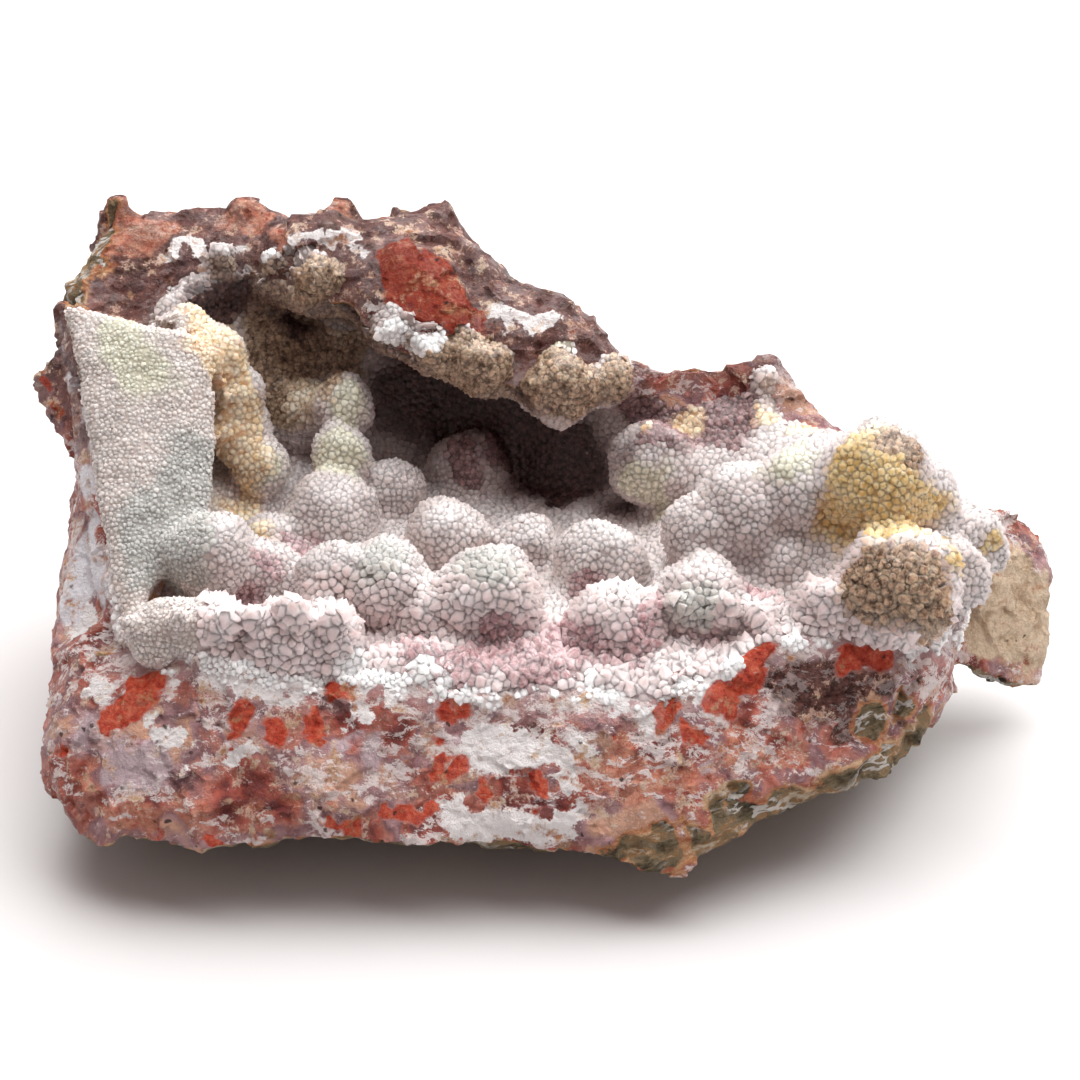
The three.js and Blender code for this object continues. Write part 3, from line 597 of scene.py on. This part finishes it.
SLAB_RIGHT, SLAB_BACK = -32.9, 12.4  # how far the slab's coat reaches in x and y, mm


def both_ways(piece):
    """The two ends of every edge of a piece, taken both ways."""
    ends = np.empty(2 * len(piece.data.edges), dtype=np.int64)
    piece.data.edges.foreach_get("vertices", ends)
    return np.concatenate((ends[::2], ends[1::2])), np.concatenate((ends[1::2], ends[::2]))


def along_surface(piece, starts, rounds):
    """How far each point is from the marked ones, along the surface, mm."""
    points = points_of(piece)
    here, there = both_ways(piece)
    steps = np.linalg.norm(points[here] - points[there], axis=1)
    away = np.where(starts, 0.0, 99.0)
    for _ in range(rounds):
        np.minimum.at(away, here, away[there] + steps)
    return away


def sunken(piece, rounds):
    """How far each point of a piece lies inside the form its neighbours make, mm: more in valleys."""
    points = points_of(piece)
    here, there = both_ways(piece)
    neighbours = np.bincount(here, minlength=len(points))
    smooth = points.copy()
    for _ in range(rounds):
        sums = [np.bincount(here, smooth[there, axis], len(points)) for axis in range(3)]
        smooth = np.stack(sums, axis=1) / neighbours[:, None]
    return np.einsum("ij,ij->i", smooth - points, normals_of(piece))


crust = regrain(copy_of("crystal_crust"), CRUST_GRAIN, 10)
stones = BVHTree.FromPolygons(
    [v.co for v in wall.data.vertices], [p.vertices for p in wall.data.polygons]
)
points, facing = points_of(crust), normals_of(crust)
covered = np.array([
    stones.ray_cast(Vector(p) + 0.02 * Vector(n), Vector(n), FAST)[0] is not None
    for p, n in zip(points, facing)
])
from_edge = along_surface(crust, covered, 9)
on_slab = (points[:, 0] < SLAB_RIGHT) & (points[:, 1] < SLAB_BACK)
valley = np.clip(sunken(crust, 90) / 0.9, -1, 1)

# The crust thins out to nothing at its edge, and its underside is fast to the wall.
nearest = [stones.find_nearest(Vector(p)) for p in points]
down = np.array([near[0] - Vector(p) for near, p in zip(nearest, points)])
thin = np.clip(1 - from_edge / 4, 0, 1) * ~covered * ~on_slab
fold = 0.7 * np.clip(1 - from_edge / 2, 0, 1) * ~covered * ~on_slab
inward = down / np.maximum(np.linalg.norm(down, axis=1), 0.01)[:, None]
points = points + down * 1.2 * thin[:, None] + inward * fold[:, None]
under_wall = np.array([near[0] - 0.25 * near[1] for near in nearest])
points = np.where(covered[:, None], under_wall, points)
crust.data.vertices.foreach_set("co", points.astype(np.float32).ravel())
places = torn(points, (4.0, 2.2), (1.2, 0.8))
for name, patches in CRUST_PATCHES.items():
    paint(crust, name, inside_of(places, patches))
paint(crust, "valley", valley)
# Painted shade: under the overhanging roof, crust faces that look down or back are marked to be painted
# dark brown, partly the lumps' own brown undersides and partly the shade that falls there.
roof = np.clip((points[:, 2] - 31) / 3, 0, 1) * (points[:, 1] > 4)
paint(crust, "under", roof * np.clip(0.35 - 1.1 * facing[:, 2] - 0.5 * facing[:, 1], 0, 1))
front = np.clip((-13 - points[:, 1]) / 8, 0, 1)
coarse = 0.85 + 0.55 * front
place_of_coat = np.select(
    [covered, on_slab, front > 0.15, points[:, 0] < -12, points[:, 0] < 15], [0, 1, 2, 3, 4], 5
)
for number, name in enumerate(("slab", "front", "left", "middle", "right"), 1):
    paint(crust, "druse_" + name, place_of_coat == number)
paint(crust, "covered", covered)
paint(crust, "front", front)
paint(crust, "size", np.where(on_slab, 1, coarse * (0.5 + 0.5 * np.clip(from_edge / 3, 0, 1))))

start, end = growth("swelling")
place = start.node("GeometryNodeInputPosition")
outward = start.node("GeometryNodeInputNormal")
height = ((place.noise(3.5, 3.0) - 0.5) * 0.9 - 0.12) * (1.0 - grown_value(start, "covered"))
moved = {"Geometry": start, "Offset": outward.scaled(height)}
crust = grow(crust, start, start.node("GeometryNodeSetPosition", None, moved), end)

# --- The crystals on the crust and along its edge -----------------------------------------------
# Small blunt points of quartz, 0.4 to 1.6 mm wide, that grew side by side out of the crust: fine on
# the slab, coarse and sharp along the front, and scattered on the wall just below the crust's edge.


def crystal(name, foot, shoulder, height, point):
    """A six-sided crystal: foot and shoulder radius, height of the shoulder, and of the point on it."""
    shape = bmesh.new()
    bmesh.ops.create_cone(
        shape, cap_ends=True, segments=6, radius1=foot, radius2=shoulder, depth=height
    )
    bmesh.ops.translate(shape, verts=shape.verts, vec=(0, 0, height / 2 - 0.25))
    top = max(shape.faces, key=lambda face: face.calc_center_median().z)
    tip = bmesh.ops.poke(shape, faces=[top], offset=point)["verts"]
    bmesh.ops.translate(shape, verts=tip, vec=(0.25 * shoulder, 0.1 * shoulder, 0))
    mesh = bpy.data.meshes.new(name)
    shape.to_mesh(mesh)
    shape.free()
    heights = np.array([v.co.z for v in mesh.vertices])
    piece = bpy.data.objects.new(name, mesh)
    # Painted light: each crystal is marked to be painted lighter from its foot up to its shoulder than
    # at its point, to lift the shade in the grooves between crystals.
    paint(piece, "glint", np.interp(heights, (height - 0.25, heights.max()), (1.0, 0.0)))
    return piece


def paint_lie(piece):
    """Writes how a piece's surface lies at each of its points."""
    layer = piece.data.attributes.new("lie", "FLOAT_VECTOR", "POINT")
    layer.data.foreach_set("vector", normals_of(piece).ravel())


def clouded(coat, share):
    """Turns the shading of every facet part of the way to the lie of the ground that it grew on."""
    mesh = coat.data
    lie = np.empty(3 * len(mesh.vertices), dtype=np.float32)
    mesh.attributes["lie"].data.foreach_get("vector", lie)
    corner = np.empty(len(mesh.loops), dtype=np.int32)
    mesh.loops.foreach_get("vertex_index", corner)
    facing = np.empty(3 * len(mesh.polygons), dtype=np.float32)
    mesh.polygons.foreach_get("normal", facing)
    sides = np.empty(len(mesh.polygons), dtype=np.int32)
    mesh.polygons.foreach_get("loop_total", sides)
    flat = np.repeat(facing.reshape(-1, 3), sides, axis=0)
    lie = lie.reshape(-1, 3)[corner]
    share = share * np.clip(1 + 1.5 * np.sum(flat * lie, axis=1), 0, 1)[:, None]
    turned = (1 - share) * flat + share * lie
    mesh.normals_split_custom_set((turned / np.linalg.norm(turned, axis=1)[:, None]).tolist())
    return coat


def crystals_on(piece, name, shape, spacing, size, seed, lean, cloud):
    """Crystals scattered over a piece where the mask painted under their name allows.

    Spacing and size are in mm, the lean in radians. Cloud is the share of their shading that follows
    the ground and not their own facets.
    """
    coat = bpy.data.objects.new(name, piece.data.copy())
    bpy.context.scene.collection.objects.link(coat)
    start, end = growth(name)
    allowed = grown_value(start, name)
    seeds = {"Mesh": start, "Distance Min": spacing, "Density Max": 5 / spacing**2}
    seeds.update({"Density Factor": allowed, "Seed": seed})
    method = {"distribute_method": "POISSON"}
    spots = start.node("GeometryNodeDistributePointsOnFaces", method, seeds, "Points")
    upright = Field(start.tree, spots.socket.node.outputs["Rotation"])
    vector = {"data_type": "FLOAT_VECTOR"}
    limits = {0: (-lean, -lean, -pi), 1: (lean, lean, pi), "Seed": seed + 1}
    turn = start.node("FunctionNodeRandomValue", vector, limits)
    leaning = start.node("FunctionNodeEulerToRotation", None, {"Euler": turn})
    local = {"rotation_space": "LOCAL"}
    both = {"Rotation": upright, "Rotate By": leaning}
    turned = start.node("FunctionNodeRotateRotation", local, both)
    number = {"data_type": "FLOAT"}
    range_of = {2: 0.7 * size, 3: 1.25 * size, "Seed": seed + 2}
    sizes = start.node("FunctionNodeRandomValue", number, range_of, 1) * grown_value(start, "size")
    grain = start.node("GeometryNodeObjectInfo", None, {"Object": shape}, "Geometry")
    planted = {"Points": spots, "Instance": grain, "Rotation": turned, "Scale": sizes}
    grown = start.node("GeometryNodeInstanceOnPoints", None, planted)
    joined = start.node("GeometryNodeRealizeInstances", None, {"Geometry": grown})
    coat = grow(coat, start, joined, end)
    return clouded(coat, cloud)


paint_lie(crust)
paint_lie(wall)
near_crust = KDTree(len(points))
for number, point in enumerate(points):
    if not covered[number]:
        near_crust.insert(Vector(point), number)
near_crust.balance()
away = np.array([near_crust.find(v.co)[2] for v in wall.data.vertices])
paint(wall, "rim", np.clip(1 - away / 6 - 0.6 * (points_of(wall)[:, 2] > 27), -0.45, 1))
stone = points_of(wall)
places = torn(stone, (3.0, 1.6), (1.0, 0.6))
stained = np.maximum(inside_of(places, RED), inside_of(places, DARK)) + 0.45
patchy = np.array([noise.noise(v.co / 2.6) for v in wall.data.vertices])
clumps = np.array([noise.noise(v.co / 0.9) for v in wall.data.vertices])
frosted = inside_of(places, FROST) + 0.45
sugary = 0.45 - away / 2.3 + 1.1 * patchy + 0.9 * clumps + 1.2 * frosted
sugary -= 3 * np.clip(stained, 0, 1)
paint(wall, "frost", np.maximum(frosted, (0.9 * sugary + 0.06) * (stone[:, 2] < 27)) - 0.45)
paint(wall, "sugar", (sugary > 0.3) & (away < 1.6) & (stone[:, 2] < 27))
paint(wall, "size", np.clip(1.3 - 0.4 * away, 0.5, 1.3))
paint(wall, "valley", np.zeros(len(away)))
paint(wall, "under", np.zeros(len(away)))
paint(wall, "front", np.ones(len(away)))
for name, patches in CRUST_PATCHES.items():
    if name not in WALL_PATCHES:
        paint(wall, name, inside_of(places, patches if name == "mauve" else []))
paint(wall, "pink", 0.4 + patchy)

# Foot and shoulder radius, height of the shoulder and of the point on it, mm at a size of 1.
blunt = crystal("blunt crystal", 0.74, 0.48, 0.36, 0.34)
small = crystal("small crystal", 0.66, 0.42, 0.34, 0.32)
sharp = crystal("sharp crystal", 0.60, 0.50, 0.50, 0.60)
# Where each coat grows, its shape, spacing, size, seed, lean and cloud.
coats = [
    crystals_on(crust, "druse_left", blunt, 0.52, 0.86, 3, 0.4, 0.68),
    crystals_on(crust, "druse_middle", blunt, 0.54, 0.90, 43, 0.4, 0.68),
    crystals_on(crust, "druse_right", blunt, 0.60, 0.98, 13, 0.4, 0.68),
    crystals_on(crust, "druse_front", sharp, 0.66, 1.0, 53, 0.6, 0.68),
    crystals_on(crust, "druse_slab", small, 0.37, 0.52, 23, 0.7, 0.5),
    crystals_on(wall, "sugar", sharp, 0.42, 0.60, 33, 0.8, 0.68),
]

druse, surface, place = stone_finish("druse", 0.3, 0.8, (1.6, 1.4, 1.4))
sunk = painted(place, "valley") + (place.noise(3.0, 3.0) - 0.5) * 0.35
pink = (sunk.above(-0.05, 0.5) + painted(place, "pink").above(-0.2, 0.8) * 0.7).math("MINIMUM", 1.0)
white = place.noise(5.0, 3.0).toned((0.35, (0.325, 0.39, 0.37)), (0.65, (0.44, 0.52, 0.50)))
white = white.mixed((0.60, 0.58, 0.57), painted(place, "front") * 0.8)
white = white.mixed((0.50, 0.53, 0.46), painted(place, "druse_slab") * 0.8)
blush = place.noise(2.0, 5.0, 0.6).toned((0.38, (0.48, 0.23, 0.225)), (0.62, (0.68, 0.42, 0.42)))
colour = white.mixed(blush, pink * 0.85)
spread = (place.noise(1.6, 6.0, 0.7) - 0.5) * 1.0
# Dark brown under the roof: partly the lumps' own brown, partly painted shade on faces turned down.
under = (painted(place, "under") + spread * 0.8).above(0.0, 0.45)
under_brown_and_shade_colour = place.noise(0.8, 6.0, 0.75).toned((0.40, (0.09, 0.055, 0.04)), (0.60, (0.34, 0.25, 0.18)))
colour = colour.mixed(under_brown_and_shade_colour, under * 0.9)
# Colour patches on the crust. The near-black cave patches and the grey dim patches are painted shade;
# the mauve, dusky and brown patches are partly the stone's own colour and partly painted shade.
for name, low, high in (
    ("cream", (0.44, 0.41, 0.29), (0.60, 0.56, 0.42)),
    ("mauve", (0.20, 0.11, 0.115), (0.46, 0.32, 0.325)),
    ("dusky", (0.07, 0.04, 0.04), (0.24, 0.15, 0.15)),
    ("orange", (0.56, 0.32, 0.16), (0.88, 0.64, 0.42)),
    ("tawny", (0.34, 0.22, 0.14), (0.82, 0.64, 0.46)),
    ("dim", (0.29, 0.28, 0.26), (0.42, 0.41, 0.38)),
    ("yellow", (0.38, 0.22, 0.07), (0.64, 0.45, 0.24)),
    ("brown", (0.07, 0.042, 0.026), (0.40, 0.28, 0.19)),
    ("deep", (0.016, 0.009, 0.008), (0.075, 0.042, 0.038)),
):
    shade = place.noise(0.8, 6.0, 0.75).toned((0.40, low), (0.60, high))
    share = (painted(place, name) + spread * 0.6).above(-0.4, 0.2 if name != "deep" else 0.9)
    colour = colour.mixed(shade, share)
frosted = (painted(place, "frost") + spread).above(-0.3, -0.05)
colour = colour.mixed((0.90, 0.88, 0.87), frosted)
# Painted light: below their shoulders the crystals are painted up to half as light again as at their
# points, to lift the shade in the grooves between them.
glint = painted(place, "glint")
colour = colour.scaled(1.0 + glint * 0.5)
laid(surface, Base_Color=colour)
laid(surface, Roughness=0.12 + place.noise(1.2, 3.0) * 0.25)

done(wall, "chalcedony_wall", chalcedony)
done(crust, "crystal_crust", druse)
for coat in coats:
    done(coat, None, druse)

# --- The table, the light and the camera --------------------------------------------------------
# The piece rests on a plain white table under a wide soft light from above and behind.

table_mesh = bpy.data.meshes.new("table")
board = bmesh.new()
bmesh.ops.create_grid(board, x_segments=1, y_segments=1, size=2)
board.to_mesh(table_mesh)
board.free()
table = bpy.data.objects.new("table", table_mesh)
bpy.context.scene.collection.objects.link(table)
paper = bpy.data.materials.new("white paper")
paper.use_nodes = True
paper.node_tree.nodes["Principled BSDF"].inputs["Base Color"].default_value = (0.65, 0.65, 0.65, 1)
paper.node_tree.nodes["Principled BSDF"].inputs["Roughness"].default_value = 0.9
table.data.materials.append(paper)

scene = bpy.context.scene
scene.view_settings.view_transform = "Standard"
room = bpy.data.worlds.new("room")
room.use_nodes = True
room.node_tree.nodes["Background"].inputs["Color"].default_value = (1, 0.8, 0.78, 1)
room.node_tree.nodes["Background"].inputs["Strength"].default_value = 0.42
scene.world = room


def soft_light(name, place, aim, width, watts):
    """A square soft light that faces a point."""
    lamp = bpy.data.lights.new(name, "AREA")
    lamp.size = width
    lamp.energy = watts
    light = bpy.data.objects.new(name, lamp)
    light.location = place
    light.rotation_euler = (Vector(aim) - Vector(place)).to_track_quat("-Z", "Y").to_euler()
    scene.collection.objects.link(light)


soft_light("overhead", (0.10, 0.20, 0.45), (0, 0, 0.02), 0.80, 9.0)

TARGET = Vector((-0.00067, -0.00558, 0.0256))
camera_data = bpy.data.cameras.new("camera")
camera_data.lens = 85
camera_data.sensor_width = 36
camera_data.clip_start = 0.01
camera = bpy.data.objects.new("camera", camera_data)
camera.location = TARGET + 0.255 * Vector((0, -cos(radians(30)), sin(radians(30))))
camera.rotation_euler = (TARGET - camera.location).to_track_quat("-Z", "Y").to_euler()
scene.collection.objects.link(camera)
scene.camera = camera
